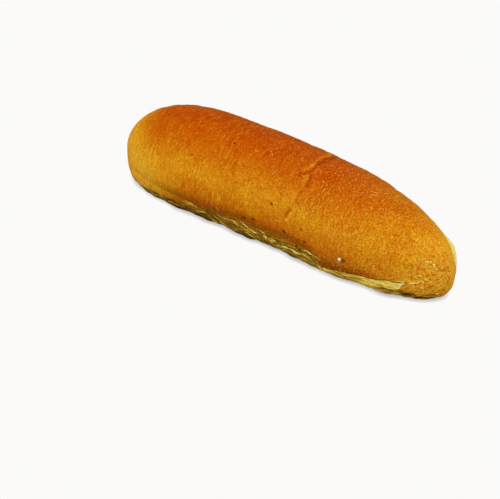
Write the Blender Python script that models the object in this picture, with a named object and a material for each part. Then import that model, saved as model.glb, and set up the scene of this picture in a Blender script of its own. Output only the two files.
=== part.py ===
"""Mini baguette: one soft-crusted finger roll, as it comes off a flat baking tray.

The roll is a single solid. It lies along X, with its tall blunt end at -X and its low end at +X, and its
flat bottom rests on Z = 0. The skin is a sphere's net of rings drawn out into the roll: a station along X
gives each ring its width and heights, and a place round the ring lies on the dome, on a tucked side or on
the flat bottom. The marks of the dough are then pushed in or out along the skin's normal: the creases of
moulding, the pale torn band that never browned between crust and tray, and the rim at the low end.
"""

import math

import bmesh
import bpy
import numpy as np
from mathutils import Matrix, Vector, noise

# Driving dimensions, in metres
LENGTH = 0.180
WIDTH = 0.0490
HEIGHT = 0.0446

# The net of the skin: rings along the roll, and steps round each ring
RINGS = 92
DOME_STEPS = 30
SIDE_STEPS = 12
BOTTOM_STEPS = 6
PLACES = DOME_STEPS + 2 * SIDE_STEPS + BOTTOM_STEPS

# The plan: how far each rounded end reaches back from its tip, and how full its outline is
BLUNT_END_PLAN = 0.0425
BLUNT_END_FULLNESS = 2.15
LOW_END_PLAN = 0.0576
LOW_END_FULLNESS = 1.65

# The roll's slight bend: how far its middle lies to +Y of its tips, and how far the low end turns to -Y
BOW = 0.0026
LOW_END_TURN = 0.0012
LOW_END_START = 0.020

# The side view: the dome falls over these lengths, and the waist is the height of the widest line
BLUNT_END_FALL = 0.0603
BLUNT_END_DOME = 2.25
LOW_END_FALL = 0.1306
LOW_END_DOME = 2.87
WAIST = 0.0128
LOW_TIP_WAIST = 0.0111
BLUNT_TIP_WAIST = 0.0138
UNDERCUT_REACH = 0.0060

# The cross-section: how full the dome is, and the flat foot's share of the width. The foot swells and draws
# in along the roll. Each row is a station along X and how much share the foot gains there.
DOME_FULLNESS = 2.18
FOOT = 0.68
FOOT_SWELLS = ((-0.015, 0.030), (0.008, -0.055), (0.024, 0.060), (0.045, -0.025), (0.067, 0.060))
FOOT_SWELL_REACH = 0.0075

# The torn band between the crust and the tray. The crust's lip is its upper edge. The band opens behind the
# blunt end. On the near side (-Y) the lip folds down at FOLD and climbs again, until the crust closes over
# the band at CLOSE. On the far side (+Y) the lip climbs to the low end, where the dough under it bulges out.
OPENS = (-0.086, -0.066)
LIP_HEIGHT = 0.0120
LIP_WANDER = 0.0008
LIP_WANDER_LENGTH = 0.016
FOLD = 0.0310
FOLD_REACH = 0.0025
FOLD_LIP_HEIGHT = 0.0065
FOLD_LIP_CLIMB = 0.07
CLOSE = 0.0735
CLOSE_REACH = 0.0025
FAR_LIP_CLIMBS = (0.020, 0.070)
RIM_LIP_HEIGHT = 0.0260
RIM_LIP_RISE = 0.70
RIM_STARTS = (0.0700, 0.0820)
RIM_BULGE = 0.0024
RIM_STEP = 0.0045
RIM_FOOT = 0.0100
GROOVE_DEPTH = 0.0009
GROOVE_HEIGHT = 0.0011
LEDGE_BULGE = 0.0009
LEDGE_DROP = 0.0026
LEDGE_HEIGHT = 0.0017
STRAND_RELIEF = 0.00035
STRAND_LENGTH = 0.010
STRAND_PITCH = 0.0022
BAND_FLOOR = 0.0012
FAR_SIDE = (0.001, 0.009)

# Slow unevenness of the whole skin
SWELL_RELIEF = 0.0003
SWELL_LENGTH = 0.034

# Creases from moulding run round the roll. Each row is the station along X at the crown, how far the crease
# leans along X from the crown to the -Y side, its first and last angle round the ring in degrees, from 0 at
# +Y over the top to 180 at -Y, and its depth. The dough on the blunt end's side of a crease swells a little.
CREASES = (
    (0.0178, -0.0030, 55.0, 160.0, 0.0010),
    (-0.0138, 0.0, 128.0, 158.0, 0.0004),
    (-0.0390, 0.0, 95.0, 140.0, 0.0003),
    (-0.0660, 0.0040, 60.0, 125.0, 0.0003),
    (0.0500, 0.0, 30.0, 75.0, 0.0004),
)
CROWN_ANGLE = 90.0
CREASE_HALF_WIDTH = 0.0015
CREASE_FADE = 14.0
CREASE_WANDER = 0.0008
CREASE_WANDER_ANGLE = 22.0
CREASE_SEED_STEP = 7.3
SHOULDER_SHARE = 0.45
SHOULDER_REACH = 0.0032

# Rings crowd together at the creases: how much closer they stand, and over what half-length
CROWDING = 1.2
CROWDING_REACH = 0.004

CRUST_COLOUR = (0.60, 0.19, 0.012, 1.0)
CRUST_ROUGHNESS = 0.48


def clear_scene():
    for thing in list(bpy.data.objects):
        bpy.data.objects.remove(thing)


def ramp(low, high, value):
    """A smooth climb from 0 at low to 1 at high."""
    share = min(1.0, max(0.0, (value - low) / (high - low)))
    return share * share * (3.0 - 2.0 * share)


def hump(centre, half_width, value):
    return math.exp(-(((value - centre) / half_width) ** 2))


def rounded(distance, reach, fullness):
    """The outline of a rounded end: 0 at its tip, 1 from reach inwards. A fullness of 2 is an ellipse."""
    share = min(1.0, max(0.0, distance / reach))
    return (1.0 - (1.0 - share) ** fullness) ** (1.0 / fullness)


def from_tips(x):
    """The distances from the blunt tip and from the low tip."""
    return x + LENGTH / 2, LENGTH / 2 - x


def half_width(x):
    blunt, low = from_tips(x)
    plan = rounded(blunt, BLUNT_END_PLAN, BLUNT_END_FULLNESS)
    return WIDTH / 2 * plan * rounded(low, LOW_END_PLAN, LOW_END_FULLNESS)


def waist_height(x):
    """The height of the widest line, lower towards the low end."""
    blunt, low = from_tips(x)
    drop = (WAIST - LOW_TIP_WAIST) * (1.0 - ramp(0.0, LOW_END_FALL, low))
    return WAIST - drop + (BLUNT_TIP_WAIST - WAIST) * (1.0 - ramp(0.0, BLUNT_END_FALL, blunt))


def dome_rise(x):
    """How far the crown stands above the waist."""
    blunt, low = from_tips(x)
    fall = rounded(blunt, BLUNT_END_FALL, BLUNT_END_DOME) * rounded(low, LOW_END_FALL, LOW_END_DOME)
    return (HEIGHT - WAIST) * fall


def middle_line(x):
    """Where the middle of the roll lies across Y."""
    return BOW * (1.0 / 3.0 - (2.0 * x / LENGTH) ** 2) - LOW_END_TURN * ramp(LOW_END_START, LENGTH / 2, x)


def foot_share(x):
    return FOOT + sum(gain * hump(station, FOOT_SWELL_REACH, x) for station, gain in FOOT_SWELLS)


def end_inset(across, reach, fullness):
    """How far back from its tip a rounded end has the half width across."""
    share = min(1.0, abs(across) / (WIDTH / 2))
    return reach * (1.0 - (1.0 - share**fullness) ** (1.0 / fullness))


def under_drop(x, across):
    """How far the underside lies below the waist: down to the tray, but for the undercut round each end."""
    blunt, low = from_tips(x)
    blunt -= end_inset(across, BLUNT_END_PLAN, BLUNT_END_FULLNESS)
    low -= end_inset(across, LOW_END_PLAN, LOW_END_FULLNESS)
    return waist_height(x) * rounded(min(blunt, low), UNDERCUT_REACH, 2.0)


def skin_point(x, place):
    """A point of the smooth skin. place runs from 0 at +Y, over the dome, down -Y and back underneath."""
    width = half_width(x)
    waist = waist_height(x)
    middle = middle_line(x)
    foot = foot_share(x) * width
    step = place * PLACES
    if step <= DOME_STEPS:
        turn = math.pi * step / DOME_STEPS
        across = math.copysign(abs(math.cos(turn)) ** (2 / DOME_FULLNESS), math.cos(turn))
        up = abs(math.sin(turn)) ** (2 / DOME_FULLNESS)
        return Vector((x, middle + width * across, waist + dome_rise(x) * up))
    if step <= DOME_STEPS + SIDE_STEPS or step >= PLACES - SIDE_STEPS:
        near = step <= DOME_STEPS + SIDE_STEPS
        below = step - DOME_STEPS if near else PLACES - step
        turn = math.pi / 2 * below / SIDE_STEPS
        across = foot + (width - foot) * math.cos(turn)
        down = under_drop(x, foot) * math.sin(turn)
        return Vector((x, middle + (-across if near else across), waist - down))
    across = foot * (2.0 * (step - DOME_STEPS - SIDE_STEPS) / BOTTOM_STEPS - 1.0)
    return Vector((x, middle + across, waist - under_drop(x, across)))


def crowding(x):
    return 1.0 + CROWDING * sum(hump(crease[0], CROWDING_REACH, x) for crease in CREASES)


def station_table():
    """Stations whose rings stand evenly along the plan's outline, but closer at the creases."""
    fine = -LENGTH / 2 * np.cos(np.linspace(0.0, math.pi, 2001))
    widths = np.array([half_width(x) for x in fine])
    steps = np.hypot(np.diff(fine), np.diff(widths)) * np.array([crowding(x) for x in fine[1:]])
    shares = np.concatenate([[0.0], np.cumsum(steps)]) / steps.sum()
    return shares, fine


def crease_relief(point):
    """The moulding creases: each is a furrow that wanders a little over the crown, with a low shoulder."""
    angle = math.degrees(math.atan2(point.z - WAIST, point.y))
    relief = 0.0
    for number, (station, lean, first, last, depth) in enumerate(CREASES):
        wander = noise.noise(Vector((number * CREASE_SEED_STEP, angle / CREASE_WANDER_ANGLE, 0.0)))
        line = station + lean * (angle / CROWN_ANGLE - 1.0) + CREASE_WANDER * wander
        inside = ramp(first, first + CREASE_FADE, angle) * ramp(-last, -last + CREASE_FADE, -angle)
        shoulder = SHOULDER_SHARE * hump(line - SHOULDER_REACH, SHOULDER_REACH, point.x)
        relief += depth * inside * (shoulder - hump(line, CREASE_HALF_WIDTH, point.x))
    return relief


def far_climb(point):
    """0 where the crust's lip runs low, 1 where it has climbed at the far side's low end."""
    if point.y < middle_line(point.x):
        return 0.0
    return ramp(*FAR_LIP_CLIMBS, point.x)


def lip_height(point):
    """The height of the crust's torn lower edge."""
    if point.y > middle_line(point.x):
        top = min(RIM_LIP_HEIGHT, waist_height(point.x) + RIM_LIP_RISE * dome_rise(point.x))
        lip = LIP_HEIGHT + (top - LIP_HEIGHT) * far_climb(point)
    else:
        folded = FOLD_LIP_HEIGHT + FOLD_LIP_CLIMB * (point.x - FOLD)
        lip = LIP_HEIGHT + (folded - LIP_HEIGHT) * ramp(FOLD - FOLD_REACH, FOLD + FOLD_REACH, point.x)
    return lip + LIP_WANDER * noise.noise(Vector((point.x, point.y, 0.0)) / LIP_WANDER_LENGTH)


def band_strength(point):
    """1 where the band lies open, 0 where the crust is closed."""
    closed = ramp(CLOSE - CLOSE_REACH, CLOSE + CLOSE_REACH, point.x)
    closed *= 1.0 - ramp(*FAR_SIDE, point.y - middle_line(point.x))
    return (1.0 - closed) * ramp(*OPENS, point.x)


def rim_share(point):
    """1 at the far side of the low end, where the dough under the lip bulges out."""
    return ramp(*RIM_STARTS, point.x) * ramp(*FAR_SIDE, point.y - middle_line(point.x))


def band_relief(point):
    """The torn band: a groove under the crust's lip, a ledge or a rim under the groove, and strands."""
    lip = lip_height(point)
    groove = GROOVE_DEPTH * hump(lip - GROOVE_HEIGHT / 2, GROOVE_HEIGHT, point.z)
    ledge = LEDGE_BULGE * hump(lip - LEDGE_DROP, LEDGE_HEIGHT, point.z)
    ledge *= ramp(FOLD - FOLD_REACH, FOLD + FOLD_REACH, point.x)
    grain = Vector((point.x / STRAND_LENGTH, point.y / STRAND_LENGTH, point.z / STRAND_PITCH))
    strands = STRAND_RELIEF * noise.noise(grain) * ramp(-lip, -lip + GROOVE_HEIGHT, -point.z)
    band = (1.0 - far_climb(point)) * (ledge - groove + strands)
    rim = RIM_BULGE * rim_share(point) * ramp(-lip, -lip + RIM_STEP, -point.z) * ramp(0.0, RIM_FOOT, point.z)
    return ramp(0.0, BAND_FLOOR, point.z) * band_strength(point) * (band + rim)


def swell_relief(point):
    return SWELL_RELIEF * noise.noise(point / SWELL_LENGTH) * ramp(0.0, LIP_HEIGHT, point.z)


def make_roll():
    """The sphere's net, with its poles at the roll's tips, drawn out into the roll."""
    net = bmesh.new()
    poles_on_x = Matrix.Rotation(math.pi / 2, 4, "Y")
    bmesh.ops.create_uvsphere(net, u_segments=PLACES, v_segments=RINGS, radius=1.0, matrix=poles_on_x)
    shares, stations = station_table()
    for vertex in net.verts:
        along = 1.0 - math.acos(max(-1.0, min(1.0, vertex.co.x))) / math.pi
        place = (math.atan2(vertex.co.z, vertex.co.y) / (2 * math.pi)) % 1.0
        vertex.co = skin_point(float(np.interp(along, shares, stations)), place)
    net.normal_update()
    normals = {vertex: vertex.normal.copy() for vertex in net.verts}
    for vertex, normal in normals.items():
        point = vertex.co.copy()
        vertex.co += normal * (crease_relief(point) + band_relief(point) + swell_relief(point))
        vertex.co.z = max(0.0, vertex.co.z)
    lows = [min(vertex.co[axis] for vertex in net.verts) for axis in range(3)]
    highs = [max(vertex.co[axis] for vertex in net.verts) for axis in range(2)]
    base_centre = Vector(((lows[0] + highs[0]) / 2, (lows[1] + highs[1]) / 2, lows[2]))
    bmesh.ops.translate(net, verts=net.verts, vec=-base_centre)
    bmesh.ops.recalc_face_normals(net, faces=net.faces)
    mesh = bpy.data.meshes.new("roll")
    net.to_mesh(mesh)
    net.free()
    mesh.shade_smooth()
    return mesh


def crust_material():
    material = bpy.data.materials.new("crust")
    material.use_nodes = True
    shader = material.node_tree.nodes["Principled BSDF"]
    shader.inputs["Base Color"].default_value = CRUST_COLOUR
    shader.inputs["Roughness"].default_value = CRUST_ROUGHNESS
    shader.inputs["Metallic"].default_value = 0.0
    return material


def main():
    clear_scene()
    roll = bpy.data.objects.new("mini_baguette", make_roll())
    roll.data.materials.append(crust_material())
    bpy.context.scene.collection.objects.link(roll)


main()
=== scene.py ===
import math
import random

import bmesh
import bpy
import numpy as np
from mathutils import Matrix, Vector, noise


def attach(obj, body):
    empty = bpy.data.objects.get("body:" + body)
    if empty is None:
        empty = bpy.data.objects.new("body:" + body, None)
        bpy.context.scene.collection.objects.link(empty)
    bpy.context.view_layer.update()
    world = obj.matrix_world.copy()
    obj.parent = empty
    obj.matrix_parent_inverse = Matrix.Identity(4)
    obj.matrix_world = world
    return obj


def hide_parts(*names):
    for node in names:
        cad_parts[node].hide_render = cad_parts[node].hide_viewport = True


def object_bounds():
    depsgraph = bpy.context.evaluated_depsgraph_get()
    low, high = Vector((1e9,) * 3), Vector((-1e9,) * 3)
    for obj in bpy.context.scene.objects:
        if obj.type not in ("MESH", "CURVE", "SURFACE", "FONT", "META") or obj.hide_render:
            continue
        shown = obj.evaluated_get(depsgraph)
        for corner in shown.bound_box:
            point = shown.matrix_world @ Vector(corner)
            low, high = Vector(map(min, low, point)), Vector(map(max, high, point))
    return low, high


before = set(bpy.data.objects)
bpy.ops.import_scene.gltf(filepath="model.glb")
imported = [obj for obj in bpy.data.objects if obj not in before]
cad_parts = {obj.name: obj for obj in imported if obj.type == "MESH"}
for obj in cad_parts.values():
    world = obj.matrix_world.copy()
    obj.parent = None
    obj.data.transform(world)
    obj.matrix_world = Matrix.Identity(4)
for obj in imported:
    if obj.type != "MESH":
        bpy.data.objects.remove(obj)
cad_low, cad_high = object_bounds()


# The camera stands where the photograph was taken from: it looks down on the roll at 40 degrees, from the
# side of the torn band and a little towards the low end.
CAMERA_AZIMUTH = math.radians(34.59)
CAMERA_ELEVATION = math.radians(40.0)
CAMERA_DISTANCE = 0.5501
CAMERA_TARGET = Vector((-0.0031, -0.0260, 0.0))
CAMERA_LENS = 85.0

camera_back = Vector((
    math.sin(CAMERA_AZIMUTH) * math.cos(CAMERA_ELEVATION),
    -math.cos(CAMERA_AZIMUTH) * math.cos(CAMERA_ELEVATION),
    math.sin(CAMERA_ELEVATION),
))
camera = bpy.data.objects.new("camera", bpy.data.cameras.new("camera"))
camera.data.lens = CAMERA_LENS
camera.location = CAMERA_TARGET + camera_back * CAMERA_DISTANCE
camera.rotation_mode = "QUATERNION"
camera.rotation_quaternion = (-camera_back).to_track_quat("-Z", "Y")
bpy.context.scene.collection.objects.link(camera)
bpy.context.scene.camera = camera


# The roll is one piece of wheat dough, moulded by hand, proved, and baked on a flat tray. Its skin is a
# thin soft crust. The mesh starts as a copy of the part's own solid, welded, with its flat bottom cut into
# small cells, and is rounded by a subdivision surface so that the marks of the dough can be worked in.
WELD = 0.00002
BOTTOM_CELL = 0.0048
BOTTOM_SLACK = 0.00001
QUAD_ANGLE = 1.2
ROUNDING_LEVELS = 2

roll = bpy.data.objects.new("baked_roll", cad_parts["mini_baguette"].data.copy())
roll.data.name = "baked_roll"
bpy.context.scene.collection.objects.link(roll)


def work_on(piece):
    """Selects this piece alone."""
    bpy.ops.object.select_all(action="DESELECT")
    piece.select_set(True)
    bpy.context.view_layer.objects.active = piece


def select_faces(piece, wanted):
    """In edit mode, selects the faces that are wanted, and no others."""
    bpy.ops.mesh.select_mode(type="FACE")
    bpy.ops.mesh.select_all(action="DESELECT")
    net = bmesh.from_edit_mesh(piece.data)
    for face in net.faces:
        if wanted(face):
            face.select_set(True)
    bmesh.update_edit_mesh(piece.data)


def on_bottom(face):
    return all(vertex.co.z < BOTTOM_SLACK for vertex in face.verts)


def cell_lines(low, high):
    """Evenly spaced places between low and high, about a bottom cell apart."""
    count = round((high - low) / BOTTOM_CELL)
    return [low + (high - low) * (number + 0.5) / count for number in range(count)]


work_on(roll)
bpy.ops.mesh.customdata_custom_splitnormals_clear()
bpy.ops.object.mode_set(mode="EDIT")
bpy.ops.mesh.select_all(action="SELECT")
bpy.ops.mesh.remove_doubles(threshold=WELD)
select_faces(roll, on_bottom)
bpy.ops.mesh.dissolve_faces()
for place in cell_lines(cad_low.x, cad_high.x):
    select_faces(roll, on_bottom)
    bpy.ops.mesh.bisect(plane_co=(place, 0.0, 0.0), plane_no=(1.0, 0.0, 0.0))
for place in cell_lines(cad_low.y, cad_high.y):
    select_faces(roll, on_bottom)
    bpy.ops.mesh.bisect(plane_co=(0.0, place, 0.0), plane_no=(0.0, 1.0, 0.0))
select_faces(roll, lambda face: not on_bottom(face))
bpy.ops.mesh.tris_convert_to_quads(face_threshold=QUAD_ANGLE, shape_threshold=QUAD_ANGLE)
bpy.ops.object.mode_set(mode="OBJECT")
rounding = roll.modifiers.new("rounding", "SUBSURF")
rounding.levels = ROUNDING_LEVELS
rounding.render_levels = ROUNDING_LEVELS
bpy.ops.object.modifier_apply(modifier="rounding")
bpy.ops.object.shade_smooth()


# The crust ends in a torn lip above the tray, and the dough below it tore open as the loaf sprang up in the
# oven, so it stayed pale. On the near side the lip folds down towards the low end, over a ledge of white
# dough. On the far side it climbs over the low end, and the dough that bulges out under it makes a rim.

# The lips, the ledge's foot and the crust under the ledge: rows of a station along the roll and a height
NEAR_LIP = (
    (-0.0900, 0.0030), (-0.0780, 0.0045), (-0.0600, 0.0070), (-0.0400, 0.0088), (-0.0280, 0.0108),
    (-0.0150, 0.0118), (0.0280, 0.0117), (0.0325, 0.0085), (0.0345, 0.0062), (0.0385, 0.0068),
    (0.0437, 0.0081), (0.0492, 0.0092), (0.0561, 0.0095), (0.0593, 0.0096), (0.0632, 0.0105),
    (0.0653, 0.0111), (0.0682, 0.0105), (0.0703, 0.0106), (0.0720, 0.0115), (0.0735, 0.0120),
    (0.0900, 0.0120),
)
FAR_LIP = (
    (-0.0900, 0.0030), (-0.0780, 0.0045), (-0.0600, 0.0080), (-0.0400, 0.0108), (-0.0250, 0.0116),
    (0.0300, 0.0118), (0.0400, 0.0130), (0.0500, 0.0160), (0.0580, 0.0185), (0.0650, 0.0214),
    (0.0690, 0.0245), (0.0900, 0.0270),
)
LEDGE_FOOT = (
    (0.0320, 0.0030), (0.0385, 0.0050), (0.0460, 0.0063), (0.0494, 0.0067), (0.0534, 0.0066),
    (0.0570, 0.0064), (0.0605, 0.0062), (0.0634, 0.0066), (0.0665, 0.0058), (0.0694, 0.0062),
    (0.0712, 0.0075), (0.0723, 0.0098), (0.0735, 0.0120), (0.0760, 0.0150),
)
LOW_END_LIP = ((0.0660, 0.0036), (0.0720, 0.0030), (0.0760, 0.0014), (0.0840, 0.0010), (0.0900, 0.0010))
UNDER_LEDGE_FROM = 0.0700
UNDER_LEDGE_LEVEL = 0.0065
UNDER_LEDGE_SLANT = 0.60
LEDGE_STARTS = (0.0315, 0.0350)
LEDGE_ENDS = (0.0730, 0.0745)

# The lip's own raggedness, the same at every height: rows of a tear's length and depth
RAGGED_LIP = ((0.0046, 0.00055), (0.0017, 0.00028))
SMOOTH_LEDGE_LIP = 0.8
LEVEL = (1.0, 1.0, 0.0)

# The rim's edge over the low end: rows of a station and a place across the roll
RIM_EDGE = (
    (0.0480, 0.0300), (0.0650, 0.0150), (0.0750, 0.0070), (0.0802, 0.0036), (0.0861, -0.0004),
    (0.0900, -0.0025),
)
RIM_SLANTS_BELOW = 0.0195
RIM_SLANT = 0.45
RIM_SLANT_ENDS = (0.004, 0.012)
RIM_TAKES_OVER = (0.0640, 0.0740)
RIM_TEAR_LENGTH = 0.0050
RIM_TEAR_DEPTH = 0.00035
RIM_TEAR_SEED = 17.0
LOW_RIM_TEAR_DEPTH = 0.0008
LOW_RIM = (0.006, 0.016)
FINE_TEAR_LENGTH = 0.0020
FINE_TEAR_SHARE = 0.5
FINE_TEAR_SEED = 19.0


def ramp(low, high, value):
    """A smooth climb from 0 at low to 1 at high."""
    share = np.clip((value - low) / (high - low), 0.0, 1.0)
    return share * share * (3.0 - 2.0 * share)


def read_off(rows, x):
    """The value at each station x, from rows of a station and its value."""
    return np.interp(x, *zip(*rows))


def uneven(places, size, seed=0.0):
    """Noise from about -1 to 1 at each place. size is that of its lumps along X, Y and Z."""
    return 2.0 * np.array([noise.noise(Vector(place)) for place in places / np.array(size) + seed])


def ledge_along(places):
    """1 along the ledge of white dough on the near side, 0 elsewhere."""
    x = places[:, 0]
    return ramp(*LEDGE_STARTS, x) * (1.0 - ramp(*LEDGE_ENDS, x)) * (places[:, 1] < 0.0)


def lip_height(places):
    """The height of the crust's torn lower edge, on the near side and on the far one."""
    x = places[:, 0]
    lip = np.where(places[:, 1] < 0.0, read_off(NEAR_LIP, x), read_off(FAR_LIP, x))
    for length, depth in RAGGED_LIP:
        lip += depth * uneven(places * LEVEL, length) * (1.0 - SMOOTH_LEDGE_LIP * ledge_along(places))
    return lip


def rim_gap(places):
    """How far each place lies on the crust's side of the edge that climbs over the low end."""
    slanting = RIM_SLANT * np.maximum(RIM_SLANTS_BELOW - places[:, 2], 0.0)
    slanting *= 1.0 - ramp(*RIM_SLANT_ENDS, places[:, 1])
    fine = FINE_TEAR_SHARE * uneven(places, FINE_TEAR_LENGTH, FINE_TEAR_SEED)
    ragged = RIM_TEAR_DEPTH + LOW_RIM_TEAR_DEPTH * (1.0 - ramp(*LOW_RIM, places[:, 2]))
    ragged *= uneven(places, RIM_TEAR_LENGTH, RIM_TEAR_SEED) + fine
    return read_off(RIM_EDGE, places[:, 0]) + slanting + ragged - places[:, 1]


def over_dough(places):
    """How far each place lies on the crust's side of its torn edge, all round the roll. At the low end the
    crust runs on under the end of the ledge. On the far side the lip climbs until it crosses over the end."""
    x = places[:, 0]
    z = places[:, 2]
    above = z - lip_height(places)
    beyond = x - UNDER_LEDGE_FROM - UNDER_LEDGE_SLANT * (UNDER_LEDGE_LEVEL - z)
    under = np.minimum(np.minimum(read_off(LEDGE_FOOT, x) - z, z - read_off(LOW_END_LIP, x)), beyond)
    near = np.minimum(np.maximum(above, under), rim_gap(places))
    far = above + (rim_gap(places) - above) * ramp(*RIM_TAKES_OVER, x)
    return np.where(places[:, 1] < 0.0, near, far)


# Gas that broke through the skin left pinholes, and the lower crust has pits. Each takes painted shade in its
# hollow. One row for each: its place, its radius, its depth, and how dark it is. The faces round them and
# along the lip are cut up finer.
PITS = (
    ((-0.0233, -0.0092, 0.0426), 0.00042, 0.00030, 1.0), ((0.0055, -0.0214, 0.0277), 0.00045, 0.00030, 1.0),
    ((-0.0408, -0.0189, 0.0348), 0.00034, 0.00020, 0.8), ((-0.0088, -0.0190, 0.0334), 0.00030, 0.00015, 0.6),
    ((0.0085, -0.0188, 0.0330), 0.00030, 0.00015, 0.6), ((-0.0081, -0.0237, 0.0148), 0.00070, 0.00030, 0.7),
    ((-0.0032, -0.0238, 0.0164), 0.00060, 0.00030, 0.8), ((0.0140, -0.0238, 0.0170), 0.00070, 0.00030, 0.7),
    ((0.0226, -0.0232, 0.0217), 0.00040, 0.00020, 0.8), ((0.0249, -0.0240, 0.0164), 0.00060, 0.00030, 0.8),
    ((0.0207, -0.0235, 0.0114), 0.00055, 0.00030, 0.9), ((0.0223, -0.0238, 0.0103), 0.00055, 0.00030, 0.9),
    ((0.0345, -0.0231, 0.0058), 0.00060, 0.00050, 1.0), ((0.0450, -0.0238, 0.0146), 0.00095, 0.00020, 0.7),
)
PIT_SURROUND = 0.0014
PIT_CUTS = 2
LIP_SURROUND = 0.0011
LIP_CUTS = 1
CLEAR_OF_TRAY = 0.001


def places_of(piece):
    """The places and the facings of a piece's vertices, as two arrays of rows."""
    count = len(piece.data.vertices)
    places = np.empty(count * 3, np.float32)
    facings = np.empty(count * 3, np.float32)
    piece.data.vertices.foreach_get("co", places)
    piece.data.vertex_normals.foreach_get("vector", facings)
    return places.reshape(-1, 3).astype(float), facings.reshape(-1, 3).astype(float)


def distance_from(place, places):
    return np.sqrt(((places - np.array(place)) ** 2).sum(1))


def round_pits(places):
    """Where a place lies in the surround of a pit."""
    near = np.zeros(len(places), bool)
    for place, radius, depth, darkness in PITS:
        near |= distance_from(place, places) < PIT_SURROUND
    return near


def refine(piece, wanted, cuts):
    """Cuts up the faces whose corners are all wanted."""
    work_on(piece)
    bpy.ops.object.mode_set(mode="EDIT")
    select_faces(piece, lambda face: all(wanted[vertex.index] for vertex in face.verts))
    bpy.ops.mesh.subdivide(number_cuts=cuts)
    bpy.ops.object.mode_set(mode="OBJECT")


places, facings = places_of(roll)
refine(roll, (np.abs(over_dough(places)) < LIP_SURROUND) & (places[:, 2] > CLEAR_OF_TRAY), LIP_CUTS)
places, facings = places_of(roll)
refine(roll, round_pits(places), PIT_CUTS)


# Where each vertex lies: along the roll, above the tray, on which side, on the ledge or the rim, and how far
# from the torn edge. The edge is soft at the blunt end, where crust and dough run into each other, and sharp
# along the ledge and the rim, where the dough is also calmer.
LOW_END = (0.062, 0.070)
RIM_STATIONS = (0.048, 0.074)
RIM_SIDE = (-0.006, 0.0)
RIM_SEAM = (-0.0008, 0.0)
LEDGE_SEAM = (-0.0003, 0.0003)
LIP_SOFTNESS = (
    (-0.0900, 0.0030), (-0.0300, 0.0030), (0.0050, 0.0020), (0.0250, 0.0012), (0.0330, 0.0002),
    (0.0735, 0.0002), (0.0755, 0.0008), (0.0900, 0.0012),
)
FAR_LIP_SOFTNESS = (
    (-0.0900, 0.0030), (-0.0300, 0.0022), (0.0300, 0.0014), (0.0600, 0.0010), (0.0700, 0.0005),
)
RIM_SOFTNESS = 0.0005
RIM_SOFTNESS_FROM = (0.080, 0.084)
RIM_SOFTNESS_ABOVE = 0.010
RIM_FOOT_SOFTER = 0.0009
RIM_FOOT = (0.010, 0.016)
CALM_LEDGE = 0.80
CALM_RIM = 0.70
CALM_FAR_SIDE = 0.35

places, facings = places_of(roll)
station = places[:, 0]
height = places[:, 2]
facing = facings[:, 2]
near_side = (places[:, 1] < 0.0).astype(float)
low_end = near_side * ramp(*LOW_END, station)
lip = lip_height(places)
lip_gap = over_dough(places)
rim_end = ramp(*RIM_STATIONS, station) * ramp(*RIM_SIDE, places[:, 1])
on_rim = ramp(*RIM_SEAM, -lip_gap) * rim_end
along_ledge = ledge_along(places)
foot = read_off(LEDGE_FOOT, station)
ledge = along_ledge * ramp(*LEDGE_SEAM, height - foot) * (lip_gap < 0.0)
softness = np.where(near_side > 0.0, read_off(LIP_SOFTNESS, station), read_off(FAR_LIP_SOFTNESS, station))
softness += (RIM_SOFTNESS - softness) * ramp(*RIM_SOFTNESS_FROM, station) * (height > RIM_SOFTNESS_ABOVE)
softness += RIM_FOOT_SOFTER * rim_end * (1.0 - ramp(*RIM_FOOT, height))
calm = np.maximum(CALM_LEDGE * np.maximum(ledge, low_end), CALM_RIM * rim_end)
calm = np.maximum(calm, CALM_FAR_SIDE * (1.0 - near_side))


# The relief along each vertex's normal. The crust's lip stands out a little over the dough and the ledge
# swells. The torn dough is stringy, as it was pulled apart along the loaf, and the crust has shallow lumps
# and hoop wrinkles. The skin of the low end is pitted all over.
LIP_OVERHANG = 0.00034
LIP_OVERHANG_REACH = 0.0006
LIP_STEP = 0.00055
LIP_STEP_HEIGHT = 0.00035
LIP_STEP_REACH = 0.0022
SOFT_LIP_SHARE = 0.30
BASE_REST = 0.003
LEDGE_BULGE = 0.00050
LEDGE_BULGE_MARGIN = 0.0004
LEDGE_BULGE_SHARE = 0.4


def hump(centre, half_width, value):
    """1 at the centre, falling smoothly to nearly 0 at twice the half-width."""
    return np.exp(-(((value - centre) / half_width) ** 2))


on_dough =ramp(0.0, LIP_STEP_HEIGHT, -lip_gap)
on_crust = 1.0 - on_dough
relief = LIP_OVERHANG * hump(LIP_OVERHANG_REACH, LIP_OVERHANG_REACH, lip_gap)
relief -= LIP_STEP * on_dough * np.exp(lip_gap / LIP_STEP_REACH)
relief *= SOFT_LIP_SHARE + (1.0 - SOFT_LIP_SHARE) * along_ledge
relief *= ramp(0.0, BASE_REST, height)
bulge_reach = LEDGE_BULGE_MARGIN + (lip - foot) * LEDGE_BULGE_SHARE
relief += LEDGE_BULGE * along_ledge * hump((lip + foot) / 2.0, bulge_reach, height)

# The strings: rows of a length, a pitch, a depth and a seed. They twist up and down by TWIST.
STRINGS = ((0.0080, 0.0014, 0.00055, 11.0), (0.0042, 0.0009, 0.00020, 12.0))
TWIST = 0.0012
TWIST_LENGTH = 0.011
TWIST_SEED = 31.0
twisted = places.copy()
twisted[:, 2] += TWIST * uneven(places * LEVEL, TWIST_LENGTH, TWIST_SEED)
for length, pitch, depth, seed in STRINGS:
    relief += depth * uneven(twisted, (length, length, pitch), seed) * on_dough * (1.0 - calm)

# The crust's lumps, and last its hoop wrinkles: rows of a size, a depth and a seed
CRUST_LUMPS = (
    (0.0120, 0.00012, 5.0), (0.0050, 0.00008, 6.0), (0.0022, 0.00004, 8.0),
    ((0.0020, 0.0080, 0.0080), 0.00006, 7.0),
)
for size, depth, seed in CRUST_LUMPS:
    relief += depth * uneven(places, size, seed) * on_crust

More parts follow.
